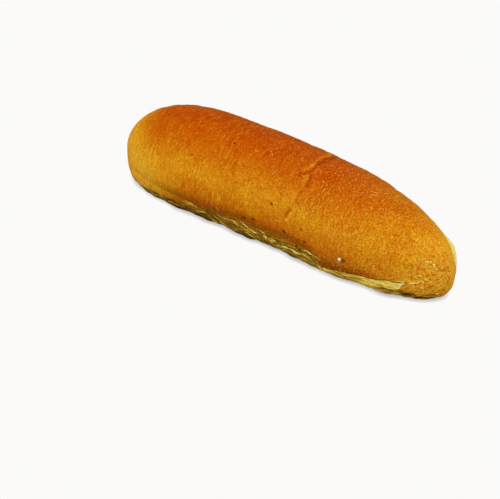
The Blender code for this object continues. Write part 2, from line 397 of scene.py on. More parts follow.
END_PIT_SIZE = 0.0021
END_PIT_DEPTH = 0.00022
END_PIT_SEED = 9.0
END_PIT_STATIONS = (0.064, 0.076)
END_PIT_SIDE = (0.003, 0.008)
END_PIT_TOP = (0.020, 0.030)
pitted = ramp(*END_PIT_STATIONS, station) * ramp(*END_PIT_SIDE, -places[:, 1])
pitted *= 1.0 - ramp(*END_PIT_TOP, height)
relief += END_PIT_DEPTH * uneven(places, END_PIT_SIZE, END_PIT_SEED) * pitted

# The pits, each with a raised brim and painted shade in its hollow. Their widths are shares of their radius.
PIT_WIDTH = 1.3
PIT_BRIM = 0.25
PIT_BRIM_AT = 2.2
PIT_DARK_WIDTH = 1.15
PIT_DARK_GAIN = 1.7
pit_shade = np.zeros(len(places))
for place, radius, depth, darkness in PITS:
    distance = distance_from(place, places)
    relief -= depth * hump(0.0, radius * PIT_WIDTH, distance)
    relief += PIT_BRIM * depth * hump(radius * PIT_BRIM_AT, radius, distance)
    shade = np.minimum(1.0, PIT_DARK_GAIN * hump(0.0, PIT_DARK_WIDTH * radius, distance))
    pit_shade = np.maximum(pit_shade, darkness * shade)

# Small blisters, each a low round rise with a shallow ring that takes painted shade: rows of a place and a
# radius
BLISTERS = (
    ((-0.0138, -0.0209, 0.0295), 0.00110), ((-0.0150, -0.0222, 0.0265), 0.00060),
    ((0.0285, -0.0150, 0.0360), 0.0008), ((0.0480, -0.0170, 0.0300), 0.0007),
    ((0.0560, -0.0120, 0.0330), 0.0007), ((-0.0520, -0.0150, 0.0370), 0.0008),
)
BLISTER_RISE = 0.00016
BLISTER_RING = 0.7
BLISTER_RING_AT = 1.6
BLISTER_RING_WIDTH = 0.5
BLISTER_SHADE = 0.22
BLISTER_SHADE_AT = 1.4
BLISTER_SHADE_WIDTH = 0.45
for place, radius in BLISTERS:
    distance = distance_from(place, places)
    ring = BLISTER_RING * hump(radius * BLISTER_RING_AT, radius * BLISTER_RING_WIDTH, distance)
    relief += BLISTER_RISE * (hump(0.0, radius, distance) - ring)
    shade = BLISTER_SHADE * hump(radius * BLISTER_SHADE_AT, radius * BLISTER_SHADE_WIDTH, distance)
    pit_shade = np.maximum(pit_shade, shade)


# Moulding left creases over the crown and down the near side, where one turn of dough was rolled over the
# next, and ridges beside them. One row for each crease: its depth, its half-width, how much painted shade
# it takes, and its points. The ridges' rows give how high and how much painted highlight. Between them the
# solid's long furrow is filled again.
CREASES = (
    (0.00050, 0.0012, 1.00, (
        (0.0186, 0.0185, 0.0336), (0.0188, 0.0140, 0.0380), (0.0186, 0.0100, 0.0400),
        (0.0184, 0.0060, 0.0413), (0.0177, 0.0020, 0.0423), (0.0171, -0.0012, 0.0424))),
    (0.00030, 0.0006, 0.80, (
        (0.0172, -0.0024, 0.0422), (0.0168, -0.0054, 0.0415), (0.0163, -0.0076, 0.0413),
        (0.0148, -0.0095, 0.0411), (0.0131, -0.0112, 0.0406))),
    (0.00034, 0.0006, 0.90, (
        (0.0180, -0.0088, 0.0404), (0.0184, -0.0106, 0.0397), (0.0189, -0.0132, 0.0380))),
    (0.00010, 0.0004, 0.35, (
        (0.0184, -0.0143, 0.0370), (0.0174, -0.0156, 0.0355), (0.0168, -0.0163, 0.0348))),
    (0.00026, 0.0008, 0.50, ((0.0168, -0.0182, 0.0322), (0.0164, -0.0186, 0.0315))),
    (0.00034, 0.0009, 0.70, (
        (0.0148, -0.0208, 0.0281), (0.0142, -0.0219, 0.0262), (0.0137, -0.0225, 0.0247))),
    (0.00016, 0.0006, 0.45, ((-0.0073, -0.0108, 0.0415), (-0.0060, -0.0074, 0.0429))),
    (0.00014, 0.0005, 0.35, (
        (-0.0174, -0.0189, 0.0339), (-0.0192, -0.0179, 0.0354), (-0.0178, -0.0160, 0.0377))),
)
RIDGES = (
    (0.00034, 0.0009, 1.00, (
        (0.0166, 0.0185, 0.0338), (0.0166, 0.0140, 0.0386), (0.0163, 0.0090, 0.0413),
        (0.0160, 0.0045, 0.0424), (0.0158, 0.0005, 0.0427), (0.0156, -0.0030, 0.0424),
        (0.0150, -0.0060, 0.0418), (0.0137, -0.0084, 0.0417))),
    (0.00024, 0.0009, 0.80, ((0.0166, -0.0092, 0.0407), (0.0171, -0.0118, 0.0393))),
    (0.00022, 0.0006, 0.70, (
        (0.0170, -0.0206, 0.0292), (0.0157, -0.0215, 0.0262), (0.0142, -0.0228, 0.0230))),
    (0.00012, 0.0008, 0.40, ((-0.0088, -0.0100, 0.0420), (-0.0076, -0.0066, 0.0434))),
)
LINE_FADE = 0.0008
FAR_FADE = (0.006, 0.020)


def beside_line(points):
    """How far each vertex lies from a line of points, and on which side of it along X."""
    best = np.full(len(places), 1.0)
    side = np.zeros(len(places))
    for start, end in zip(points, points[1:]):
        start = np.array(start)
        run = np.array(end) - start
        share = np.clip((places - start) @ run / (run @ run), 0.0, 1.0)
        offset = places - (start + share[:, None] * run)
        distance = np.sqrt((offset ** 2).sum(1))
        nearer = distance < best
        best = np.where(nearer, distance, best)
        side = np.where(nearer, offset[:, 0], side)
    return best, side


def line_marks(rows):
    """How far these rows' lines raise or press in each vertex, and how much painted shade or highlight they
    give it.
    """
    depth = np.zeros(len(places))
    shade = np.zeros(len(places))
    for line_depth, half_width, strength, points in rows:
        distance, side = beside_line(points)
        along = np.sqrt(np.maximum(distance ** 2 - side ** 2, 0.0))
        share = hump(0.0, LINE_FADE, along) * hump(0.0, half_width, side)
        share *= 1.0 - ramp(*FAR_FADE, places[:, 1])
        depth += line_depth * share
        shade = np.maximum(shade, strength * share)
    return depth, shade


# The furrow runs round the roll's axis by these angles in degrees, with the crown at 90.
CROWN_ANGLE = 90.0
FURROW_STATION = 0.0178
FURROW_LEAN = -0.0030
FURROW_HALF_WIDTH = 0.0015
FURROW_STARTS = (55.0, 69.0)
FURROW_ENDS = (146.0, 160.0)
FURROW_MIDDLE = 0.0128
FURROW_WANDER = 0.0004
FURROW_WANDER_ANGLE = 22.0
FURROW_FILL = ((60.0, 0.00030), (90.0, 0.00045), (105.0, 0.00100), (160.0, 0.00100))
SHOULDER_SHARE = 0.45
SHOULDER_AT = -0.0032
SHOULDER_REACH = 0.0032
SHOULDER_LEFT = ((100.0, 1.0), (115.0, 0.15))

angle = np.degrees(np.arctan2(height - FURROW_MIDDLE, places[:, 1]))
wander = uneven(np.stack([angle * 0.0, angle / FURROW_WANDER_ANGLE, angle * 0.0], 1), 1.0)
furrow = FURROW_STATION + FURROW_LEAN * (angle / CROWN_ANGLE - 1.0) + FURROW_WANDER * wander
fill = read_off(FURROW_FILL, angle) * (ramp(*FURROW_STARTS, angle) * (1.0 - ramp(*FURROW_ENDS, angle)))
relief += fill * hump(furrow, FURROW_HALF_WIDTH, station)
worn = SHOULDER_SHARE * (1.0 - read_off(SHOULDER_LEFT, angle))
relief -= fill * (worn * hump(furrow + SHOULDER_AT, SHOULDER_REACH, station))

crease_depth, crease_shade = line_marks(CREASES)
ridge_height, crease_light = line_marks(RIDGES)
relief += ridge_height - crease_depth


# Cracks along the base of the low end, scorched dark by the tray, with painted shade in them. One
# row for each: its half-width, how dark it is, and its points. The dark breaks off here and there along them.
CRACKS = (
    (0.00060, 0.90, (
        (0.0640, -0.0203, 0.0050), (0.0673, -0.0194, 0.0055), (0.0698, -0.0187, 0.0061),
        (0.0728, -0.0175, 0.0064))),
    (0.00110, 1.50, ((0.0712, -0.0172, 0.0042), (0.0728, -0.0164, 0.0037), (0.0765, -0.0147, 0.0036))),
    (0.00100, 1.40, ((0.0765, -0.0140, 0.0018), (0.0802, -0.0122, 0.0020), (0.0840, -0.0096, 0.0018))),
    (0.00060, 0.80, ((0.0804, -0.0129, 0.0042), (0.0836, -0.0110, 0.0047), (0.0864, -0.0088, 0.0056))),
)
CRACK_DEPTH = 0.00025
CRACK_EVEN = 0.80
CRACK_UNEVEN = 0.4
CRACK_BREAKS = (0.0025, 0.0025, 0.0010)
CRACK_SEED = 14.0
scorch_and_shade = np.zeros(len(places))
for half_width, darkness, points in CRACKS:
    distance, side = beside_line(points)
    crack = darkness * hump(0.0, half_width, distance)
    relief -= CRACK_DEPTH * crack
    crack *= CRACK_EVEN + CRACK_UNEVEN * uneven(places, CRACK_BREAKS, CRACK_SEED)
    scorch_and_shade = np.maximum(scorch_and_shade, np.clip(crack, 0.0, 1.0))

places += facings * relief[:, None]
places[:, 2] = np.maximum(places[:, 2], 0.0)
roll.data.vertices.foreach_set("co", places.astype(np.float32).ravel())
roll.data.update()


# How brown the crust is, from 0, cream, to 1, dark: brownest on top, golden on the flank, brown again above
# the torn band, pale at the blunt end and golden towards the low end. Where the flank above the band faces
# down or sits low, and at the base of the low end, it gets painted shade with a browner tone.
# Pairs are stations, heights or facings up, between which a tone comes in.
GOLD = 0.475
TOP_BROWN = 0.43
TOP_FACING = (0.40, 1.00)
LOW_BROWN = 0.19
LOW_FACING = (0.05, 0.40)
BLUNT_LOW_SHARE = 0.55
BLUNT_TIP_PALE = 0.39
BLUNT_TIP = (0.064, 0.088)
BLUNT_FLANK_PALE = 0.33
BLUNT_FLANK = (0.032, 0.070)
BLUNT_FLANK_FACING = (0.10, 0.45)
LOW_END_TOP_PALE = 0.26
LOW_END_TOP = (0.022, 0.072)
LOW_END_TOP_FACING = (0.45, 0.85)
LOW_END_FLANK_PALE = 0.15
LOW_END_FLANK = (0.036, 0.070)
LOW_END_FLANK_FACING = (0.05, 0.35)
LOW_TIP_PALE = 0.16
LOW_TIP = (0.066, 0.084)
LOW_TIP_SHARE = 0.15
PALEST = 0.33
PALEST_SOFTNESS = 0.05
ABOVE_LEDGE_BROWN = 0.22
ABOVE_LEDGE_AT = 0.0010
ABOVE_LEDGE_REACH = 0.0022
ABOVE_LEDGE_ENDS = (0.055, 0.066)
# Where painted shade, with a browner tone, falls on the flank and on the base of the low end
SHADE_BROWNING_FACING = (-0.10, 0.14)
SHADE_BROWNING_HEIGHT = (0.0100, 0.0155)
SHADE_BROWNING_FROM = (-0.075, -0.035)
SHADE_BROWNING_TO = (0.045, 0.076)
LOW_TIP_BASE_SHADE_BROWNING = 0.34
LOW_TIP_BASE = (0.0040, 0.0130)

top_share = np.clip((facing - TOP_FACING[0]) / (TOP_FACING[1] - TOP_FACING[0]), 0.0, 1.0)
low_share = BLUNT_LOW_SHARE + (1.0 - BLUNT_LOW_SHARE) * ramp(*SHADE_BROWNING_FROM, station)
low_share -= (1.0 - LOW_TIP_SHARE) * ramp(*LOW_TIP, station)
brown = GOLD + TOP_BROWN * top_share + LOW_BROWN * low_share * (1.0 - ramp(*LOW_FACING, facing))
brown -= BLUNT_TIP_PALE * ramp(*BLUNT_TIP, -station)
brown -= BLUNT_FLANK_PALE * ramp(*BLUNT_FLANK, -station) * (1.0 - ramp(*BLUNT_FLANK_FACING, facing))
brown -= LOW_END_TOP_PALE * ramp(*LOW_END_TOP, station) * ramp(*LOW_END_TOP_FACING, facing)
brown -= LOW_END_FLANK_PALE * ramp(*LOW_END_FLANK, station) * (1.0 - ramp(*LOW_END_FLANK_FACING, facing))
brown -= LOW_TIP_PALE * ramp(*LOW_TIP, station)
brown = PALEST + np.logaddexp(0.0, (brown - PALEST) / PALEST_SOFTNESS) * PALEST_SOFTNESS
above_ledge = hump(ABOVE_LEDGE_AT, ABOVE_LEDGE_REACH, height - lip) * along_ledge
brown += ABOVE_LEDGE_BROWN * (above_ledge * (1.0 - ramp(*ABOVE_LEDGE_ENDS, station)))
# Painted shade, with a browner tone, on the flank where it faces down or sits low
shade_and_browning = np.maximum(1.0 - ramp(*SHADE_BROWNING_FACING, facing), 1.0 - ramp(*SHADE_BROWNING_HEIGHT, height))
shade_and_browning *= ramp(*SHADE_BROWNING_FROM, station) * (1.0 - ramp(*SHADE_BROWNING_TO, station))
shade_and_browning = np.maximum(shade_and_browning, LOW_TIP_BASE_SHADE_BROWNING * low_end * (1.0 - ramp(*LOW_TIP_BASE, height)))


# How pale the torn dough is, from 0, dark, to 1, white: dark along the band, partly its own olive tone and
# partly painted shade, darker still towards the blunt end and at the base with more painted shade, white
# on the ledge and on the rim. Its edge runs from crust to dough over the softness found above. The tray
# browned the bottom, and a painted shadow line runs under the lip.
PALE_BAND = 0.30
PALE_MIDDLE = (-0.045, -0.005)
PALE_MIDDLE_GAIN = 0.14
PALE_FAR = 0.45
PALE_END = 0.56
PALE_END_FROM = (0.068, 0.071)
BASE_SHADE = 0.28
BASE_EDGE = (0.0008, 0.0042)
LOW_END_UNSHADED = 0.7
PALE_UNDER_LEDGE = 0.60
PALE_LEDGE = ((0.0320, 0.68), (0.0450, 0.67), (0.0600, 0.86), (0.0740, 1.00))
PALE_RIM = 0.98
PALE_RIM_HEIGHT = (0.004, 0.016)
UNDER_LIP_AT = -0.0001
UNDER_LIP_REACH = 0.00050
FULLY_TORN = 3.0
TRAY_FACING = -0.85
TRAY_HEIGHT = (0.0002, 0.0008)
FIBROUS = 1.30
RIM_FIBRES_LOST = 0.75
FAR_FIBRES_LOST = 0.4
SPECKLED = ((-0.080, 0.05), (-0.015, 0.10), (0.012, 0.40), (0.030, 0.75), (0.090, 0.80))
STREAKED = ((-0.080, 0.75), (-0.020, 0.70), (0.020, 0.40), (0.090, 0.32))


def store(piece, name, values):
    """Keeps one number for each vertex, which the material reads by name."""
    layer = piece.data.attributes.new(name, "FLOAT", "POINT")
    layer.data.foreach_set("value", np.asarray(values, np.float32))


# The band takes painted shade, darker towards the blunt end and at its base
pale = PALE_BAND + PALE_MIDDLE_GAIN * ramp(*PALE_MIDDLE, station)
pale = np.where(near_side > 0.0, pale, PALE_FAR)
pale += (PALE_END - pale) * ramp(*PALE_END_FROM, station) * near_side
pale -= BASE_SHADE * (1.0 - ramp(*BASE_EDGE, height)) * (1.0 - LOW_END_UNSHADED * low_end)
pale += (PALE_UNDER_LEDGE - pale) * along_ledge
pale += (read_off(PALE_LEDGE, station) - pale) * ledge
pale += (PALE_RIM - pale) * on_rim * ramp(*PALE_RIM_HEIGHT, height)
# A painted shadow line under the lip, along the ledge
under_lip = along_ledge * hump(UNDER_LIP_AT, UNDER_LIP_REACH, height - lip)
fibres_lost = RIM_FIBRES_LOST * np.maximum(rim_end, FAR_FIBRES_LOST * (1.0 - near_side))

store(roll, "brown", brown)
store(roll, "shade_and_browning", shade_and_browning)
store(roll, "torn_edge", np.clip(-lip_gap / softness, -FULLY_TORN, FULLY_TORN))
store(roll, "pale", pale)
store(roll, "tray", (facing < TRAY_FACING) * (1.0 - ramp(*TRAY_HEIGHT, height)))
# Painted shade in the pits and in the blisters' rings
store(roll, "marks", pit_shade)
store(roll, "scorch_and_shade", np.maximum(scorch_and_shade, under_lip))
store(roll, "pitted", pitted)
store(roll, "fibrous", FIBROUS * (1.0 - fibres_lost))
store(roll, "crease_shade", crease_shade)
store(roll, "crease_light", crease_light)
store(roll, "speckled", read_off(SPECKLED, station))
store(roll, "streaked", read_off(STREAKED, station))


# The finish: a soft crust in every shade of gold and brown, streaked round the roll, with pale specks of tiny
# blisters that carry painted glints and small red-brown flecks, over dough that is fibrous where it tore. It
# is nearly without shine.
CRUST_COLOURS = (
    (0.00, (244, 202, 88)), (0.18, (238, 184, 56)), (0.34, (232, 165, 32)), (0.45, (221, 146, 20)),
    (0.57, (210, 126, 13)), (0.68, (201, 107, 7)), (0.81, (194, 90, 3)), (0.92, (190, 78, 2)),
    (1.00, (174, 64, 1)),
)
DOUGH_COLOURS = (
    (0.00, (44, 29, 3)), (0.20, (88, 58, 9)), (0.40, (136, 98, 24)), (0.60, (180, 141, 44)),
    (0.80, (232, 196, 70)), (1.00, (255, 234, 130)),
)
TRAY_COLOURS = ((0.25, (98, 50, 12)), (0.50, (150, 86, 26)), (0.75, (196, 136, 62)))
SHADE_BROWNING_COLOUR = (112, 52, 6)
SHADE_BROWNING_SHARE = 0.64
FLECK_COLOUR = (176, 66, 2)
FLECK_SHARE = 0.36
RED_PIT_COLOUR = (196, 72, 0)
RED_PIT_SHARE = 0.66
SPECK_COLOUR = (252, 196, 78)
SPECK_SHARE = 0.60
# Dark of the scorched cracks with their painted shade, and of the painted shadow under the lip
SCORCH_AND_SHADE_COLOUR = (54, 36, 5)
# The painted shade in pits and blisters' rings
MARK_COLOUR = (88, 22, 0)

# The skin's patterns: each one's size along X, Y and Z, its detail, its roughness, its seed and its bend
STREAKS = ((0.0014, 0.0075, 0.0075), 2.0, 0.6, 0.0, 1.0)
SPECKLE = ((0.0007, 0.0009, 0.0009), 2.0, 0.6)
MOTTLE = ((0.0020, 0.0028, 0.0028), 2.0, 0.6, 4.0)
BLOTCHES = ((0.0130, 0.0100, 0.0100), 3.0, 0.5)
PATCHES = ((0.0200, 0.0120, 0.0120), 2.0, 0.5, 8.0)
GRIT = ((0.0008, 0.0009, 0.0009), 1.0, 0.5, 6.0)
RED_PITS = ((0.0015, 0.0015, 0.0015), 1.0, 0.5, 12.0)
FIBRES = ((0.0055, 0.0055, 0.0009), 3.0, 0.6, 3.0, 0.6)
GRIT_LIMITS = (0.60, 0.74)
RED_PIT_LIMITS = (0.50, 0.64)

# The dots on the skin: pale specks of tiny blisters, with painted glints, the more the more speckled it is,
# and red-brown flecks
SPECK_SPACING = 0.00130
SPECK_RADIUS = 0.00042
SPECK_DENSITY = 0.7
SPECK_SEED = 2.0
FLECK_SPACING = 0.00170
FLECK_RADIUS = 0.00070
FLECK_DENSITY = 0.50
FLECK_SEED = 5.0
DOT_CORE = 0.35

# How far each pattern moves the browning, the paleness or the torn edge. A gain is what the full speckling
# adds to the least share.
GRIT_LEAST = 0.20
GRIT_GAIN = 0.8
SPECKLE_LEAST = 0.70
SPECKLE_GAIN = 0.40
STREAK_LIMITS = (0.40, 0.62, 0.10, 1.15)
MOTTLE_SWAY = 0.32
BLOTCH_SWAY = 0.24
# The creases' painted shade and the ridges' painted highlight
CREASE_SWAY = 0.42
RIDGE_SWAY = -0.26
DOUGH_SPECKLE = 0.30
TRAY_SPECKLE = 0.8
EDGE_SWAY = 1.6
EDGE_WIDTH = 0.8

# How far the patterns stand out as fine grain, and how much the skin shines
SPECK_RISE = 0.7
FLECK_RISE = -0.3
FIBRE_RISE = 1.6
BUMP_STRENGTH = 0.8
BUMP_DISTANCE = 0.00022
ROUGHNESS_LIMITS = (0.3, 0.7, 0.48, 0.66)
SHINE = 0.015
SHINE_TINT = (1.0, 0.70, 0.30, 1.0)

crust = bpy.data.materials.new("browned_crust")
crust.use_nodes = True
nodes = crust.node_tree.nodes
links = crust.node_tree.links
shader = nodes["Principled BSDF"]


def from_srgb(red, green, blue):
    """A colour as a paint chart gives it, 0 to 255, in the linear numbers that a material takes."""
    shares = [value / 255.0 for value in (red, green, blue)]
    linear = [share / 12.92 if share <= 0.04045 else ((share + 0.055) / 1.055) ** 2.4 for share in shares]
    return (*linear, 1.0)


def node(kind, **settings):
    made = nodes.new(kind)
    for name, value in settings.items():
        setattr(made, name, value)
    return made


def feed(socket, value):
    """Sets a socket, or links it where the value is another node's output."""
    if isinstance(value, bpy.types.NodeSocket):
        links.new(value, socket)
    else:
        socket.default_value = value


def attribute(name):
    return node("ShaderNodeAttribute", attribute_name=name).outputs["Fac"]


def sum_up(kind, first, second=0.0, third=0.0):
    made = node("ShaderNodeMath", operation=kind)
    for socket, value in zip(made.inputs, (first, second, third)):
        feed(socket, value)
    return made.outputs[0]


def sway(value, pattern, share):
    """The value, moved up and down by this share of a pattern that runs from 0 to 1."""
    return sum_up("MULTIPLY_ADD", sum_up("SUBTRACT", pattern, 0.5), share, value)


def spread(value, from_low, from_high, to_low=0.0, to_high=1.0):
    """The value, smoothly stretched from one pair of limits to another."""
    made = node("ShaderNodeMapRange", interpolation_type="SMOOTHSTEP")
    feed(made.inputs["Value"], value)
    limits = {"From Min": from_low, "From Max": from_high, "To Min": to_low, "To Max": to_high}
    for name, number in limits.items():
        made.inputs[name].default_value = number
    return made.outputs["Result"]


def place_in(size, seed):
    """The object's own coordinates, counted in lumps of this size along X, Y and Z."""
    mapping = node("ShaderNodeMapping")
    links.new(object_place, mapping.inputs["Vector"])
    mapping.inputs["Scale"].default_value = [1.0 / length for length in size]
    mapping.inputs["Location"].default_value = (seed, 0.0, 0.0)
    return mapping.outputs["Vector"]


def noise_at(size, detail=3.0, roughness=0.55, seed=0.0, distortion=0.0):
    """Noise from 0 to 1. size is that of its lumps along X, Y and Z."""
    made = node("ShaderNodeTexNoise")
    links.new(place_in(size, seed), made.inputs["Vector"])
    made.inputs["Scale"].default_value = 1.0
    made.inputs["Detail"].default_value = detail
    made.inputs["Roughness"].default_value = roughness
    made.inputs["Distortion"].default_value = distortion
    return made.outputs["Fac"]


def dots_at(spacing, radius, density, seed):
    """Uneven dots, 1 in their middle. density is the share of the places for a dot that have one."""
    made = node("ShaderNodeTexVoronoi")
    links.new(place_in((spacing, spacing, spacing), seed), made.inputs["Vector"])
    made.inputs["Scale"].default_value = 1.0
    blurred = sway(made.outputs["Distance"], speckle, radius / spacing)
    shape = spread(blurred, radius / spacing, DOT_CORE * radius / spacing)
    lot = node("ShaderNodeSeparateColor")
    links.new(made.outputs["Color"], lot.inputs["Color"])
    chosen = sum_up("GREATER_THAN", lot.outputs["Red"], sum_up("SUBTRACT", 1.0, density))
    return sum_up("MULTIPLY", shape, chosen)


def mix_colours(share, under, over):
    made = node("ShaderNodeMix", data_type="RGBA")
    feed(made.inputs["Factor"], share)
    feed(made.inputs["A"], under)
    feed(made.inputs["B"], over)
    return made.outputs["Result"]


def colour_scale(value, stops):
    made = node("ShaderNodeValToRGB")
    feed(made.inputs["Fac"], value)
    elements = made.color_ramp.elements
    while len(elements) < len(stops):
        elements.new(1.0)
    for element, (place, colour) in zip(elements, stops):
        element.position = place
        element.color = from_srgb(*colour)
    return made.outputs["Color"]


object_place = node("ShaderNodeTexCoord").outputs["Object"]
speckled = attribute("speckled")
fibrous = attribute("fibrous")
streaks = noise_at(*STREAKS)
speckle = noise_at(*SPECKLE)
mottle = noise_at(*MOTTLE)
blotches = noise_at(*BLOTCHES)
fibres = noise_at(*FIBRES)
grit_share = sum_up("MULTIPLY_ADD", speckled, GRIT_GAIN, GRIT_LEAST)
grit = sum_up("MULTIPLY", spread(noise_at(*GRIT), *GRIT_LIMITS), grit_share)
speck_density = sum_up("MULTIPLY", speckled, SPECK_DENSITY)
specks = sum_up("MAXIMUM", dots_at(SPECK_SPACING, SPECK_RADIUS, speck_density, SPECK_SEED), grit)
red_pits = spread(noise_at(*RED_PITS), *RED_PIT_LIMITS)
flecks = dots_at(FLECK_SPACING, FLECK_RADIUS, FLECK_DENSITY, FLECK_SEED)

streak_share = sum_up("MULTIPLY", attribute("streaked"), spread(noise_at(*PATCHES), *STREAK_LIMITS))
speckle_share = sum_up("MULTIPLY_ADD", speckled, SPECKLE_GAIN, SPECKLE_LEAST)
brown_and_crease_shading = sway(attribute("brown"), streaks, streak_share)
brown_and_crease_shading = sway(brown_and_crease_shading, speckle, speckle_share)
brown_and_crease_shading = sway(brown_and_crease_shading, mottle, MOTTLE_SWAY)
brown_and_crease_shading = sway(brown_and_crease_shading, blotches, BLOTCH_SWAY)
# Painted shade in the creases and painted highlight on the ridges
brown_and_crease_shading = sum_up("MULTIPLY_ADD", attribute("crease_shade"), CREASE_SWAY, brown_and_crease_shading)
brown_and_crease_shading = sum_up("MULTIPLY_ADD", attribute("crease_light"), RIDGE_SWAY, brown_and_crease_shading)
crust_colour = colour_scale(brown_and_crease_shading, CRUST_COLOURS)
red_share = sum_up("MULTIPLY", red_pits, attribute("pitted"))
for share_of, most, colour in (
        # painted shade, with a browner tone
        (attribute("shade_and_browning"), SHADE_BROWNING_SHARE, SHADE_BROWNING_COLOUR),
        (flecks, FLECK_SHARE, FLECK_COLOUR),
        (red_share, RED_PIT_SHARE, RED_PIT_COLOUR),
        # pale specks of tiny blisters with painted glints
        (specks, SPECK_SHARE, SPECK_COLOUR)):
    crust_colour = mix_colours(sum_up("MULTIPLY", share_of, most), crust_colour, from_srgb(*colour))

dough_pale = sway(sway(attribute("pale"), fibres, fibrous), speckle, DOUGH_SPECKLE)
dough_colour = colour_scale(dough_pale, DOUGH_COLOURS)
torn = spread(sway(attribute("torn_edge"), mottle, EDGE_SWAY), -EDGE_WIDTH, EDGE_WIDTH)
tray_colour = colour_scale(sway(blotches, speckle, TRAY_SPECKLE), TRAY_COLOURS)
skin_colour = mix_colours(torn, crust_colour, dough_colour)
skin_colour = mix_colours(attribute("tray"), skin_colour, tray_colour)
# The cracks' scorch and painted shade, and the painted shadow under the lip
skin_colour = mix_colours(attribute("scorch_and_shade"), skin_colour, from_srgb(*SCORCH_AND_SHADE_COLOUR))
# painted shade in the pits and the blisters' rings
skin_colour = mix_colours(attribute("marks"), skin_colour, from_srgb(*MARK_COLOUR))
links.new(skin_colour, shader.inputs["Base Color"])
links.new(spread(speckle, *ROUGHNESS_LIMITS), shader.inputs["Roughness"])
shader.inputs["Specular IOR Level"].default_value = SHINE
shader.inputs["Specular Tint"].default_value = SHINE_TINT

tears = sum_up("MULTIPLY", sum_up("MULTIPLY", fibres, torn), fibrous)
grain = sum_up("MULTIPLY_ADD", streaks, streak_share, speckle)
for pattern, rise in ((specks, SPECK_RISE), (flecks, FLECK_RISE), (tears, FIBRE_RISE)):
    grain = sum_up("MULTIPLY_ADD", pattern, rise, grain)
bump = node("ShaderNodeBump")
bump.inputs["Strength"].default_value = BUMP_STRENGTH
bump.inputs["Distance"].default_value = BUMP_DISTANCE
links.new(grain, bump.inputs["Height"])
links.new(bump.outputs["Normal"], shader.inputs["Normal"])

roll.data.materials.clear()
roll.data.materials.append(crust)
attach(roll, "root")
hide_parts("mini_baguette")


# Strands of dough that tore off the open side as the loaf rose: each is a thin tapered thread that dried
# where it lay along the band. One thread is modelled and copied, and every copy is laid on the roll's own
# surface.
THREAD_SIDES = 5
THREAD_PARTS = 8
THREAD_SINK = 0.22
THREAD_TIP = 0.12
THREAD_FULLNESS = 0.6
THREAD_WAVE = 0.5
RAY_START = 0.06

# The strands that stand out: rows of a first station and height, last ones, an arch, a width and a paleness
LEADING_STRANDS = (
    (0.0095, 0.0062, 0.0250, 0.0086, 0.0012, 0.00110, 1.00),
    (0.0112, 0.0046, 0.0190, 0.0074, 0.0000, 0.00090, 0.84),
    (0.0235, 0.0106, 0.0340, 0.0088, 0.0014, 0.00115, 0.86),
    (0.0228, 0.0088, 0.0306, 0.0074, 0.0003, 0.00090, 0.80),
    (-0.0168, 0.0102, -0.0098, 0.0082, 0.0002, 0.00075, 0.70),
    (-0.0130, 0.0112, -0.0022, 0.0093, 0.0003, 0.00080, 0.80),
    (-0.0072, 0.0086, 0.0000, 0.0092, 0.0004, 0.00095, 0.92),
    (-0.0024, 0.0105, 0.0052, 0.0102, 0.0008, 0.00095, 0.92),
    (0.0018, 0.0090, 0.0086, 0.0075, 0.0002, 0.00100, 0.92),
    (0.0052, 0.0094, 0.0100, 0.0089, 0.0002, 0.00085, 0.76),
    (0.0340, 0.0056, 0.0372, 0.0052, 0.0002, 0.00090, 0.84),
    (-0.0242, 0.0142, -0.0218, 0.0138, 0.0002, 0.00050, 0.70),
    (-0.0229, 0.0108, -0.0208, 0.0094, 0.0000, 0.00050, 0.60),
    (0.0690, 0.0104, 0.0745, 0.0124, 0.0003, 0.00060, 0.92),
)

# The loose ones lie by chance, as many on each side, within these limits.
LOOSE_STRANDS = 80
LOOSE_STATIONS = (-0.055, 0.030)
LOOSE_HEIGHTS = (0.0030, 0.0112)
LOOSE_LENGTHS = (0.004, 0.012)
LOOSE_FALLS = (-0.12, 0.08)
LOOSE_WIDTHS = (0.00040, 0.00080)
LOOSE_PALE = (0.20, 0.74)
LOOSE_ARCHES = (-0.0003, 0.0004)
chance = random.Random(12)

bpy.ops.object.select_all(action="DESELECT")
bpy.ops.mesh.primitive_cylinder_add(
    vertices=THREAD_SIDES, radius=0.5, depth=1.0, end_fill_type="TRIFAN", location=(0.0, 0.0, 0.0))
thread = bpy.context.active_object
thread.name = "torn_thread"
bpy.ops.object.mode_set(mode="EDIT")
for part in range(1, THREAD_PARTS):
    bpy.ops.mesh.select_all(action="SELECT")
    bpy.ops.mesh.bisect(plane_co=(0.0, 0.0, part / THREAD_PARTS - 0.5), plane_no=(0.0, 0.0, 1.0))
bpy.ops.object.mode_set(mode="OBJECT")
bpy.ops.object.shade_smooth()
bpy.context.view_layer.update()


